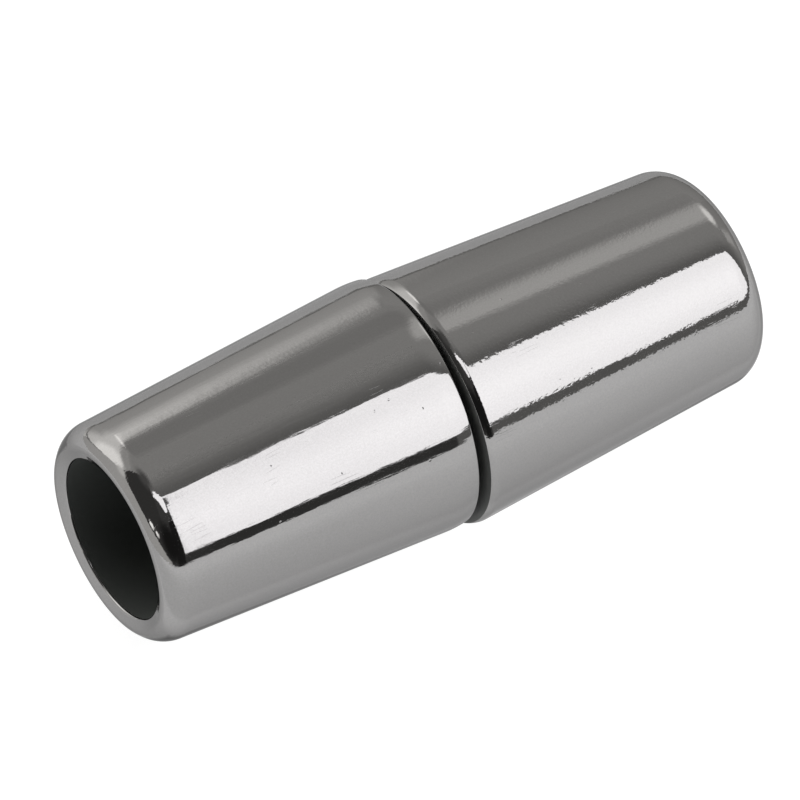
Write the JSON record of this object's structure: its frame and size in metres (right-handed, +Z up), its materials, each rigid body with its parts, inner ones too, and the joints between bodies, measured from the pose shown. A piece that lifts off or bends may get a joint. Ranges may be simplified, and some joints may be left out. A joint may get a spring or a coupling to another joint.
{
  "type": "magnetic clasp",
  "caption": "Closed barrel clasp for round cord: tapered shells meet at their wide rims, held by magnets inside, with a blind bore in each nose where a cord end is glued.",
  "frame": {"origin": "centre of the joint between the halves, on the clasp's axis", "axes": "+X along the clasp's axis from the near half to the far half, +Z up with the clasp lying on its side"},
  "size_m": [0.0212, 0.0082, 0.008],
  "materials": {
    "dark_plating": "polished dark plating over a zinc alloy casting, with fine pits",
    "magnet_nickel": "satin nickel plating"
  },
  "bodies": {
    "near_half": {"near_shell": "dark_plating", "near_magnet": "magnet_nickel"},
    "far_half": {"far_shell": "dark_plating", "far_magnet": "magnet_nickel"}
  },
  "joints": [
    {"name": "pull_apart", "type": "slide", "parent": "near_half", "child": "far_half", "axis": [1, 0, 0], "range_m": [0, 0.01], "stiffness_N_per_m": 2.5, "springref_m": -0.02}
  ]
}
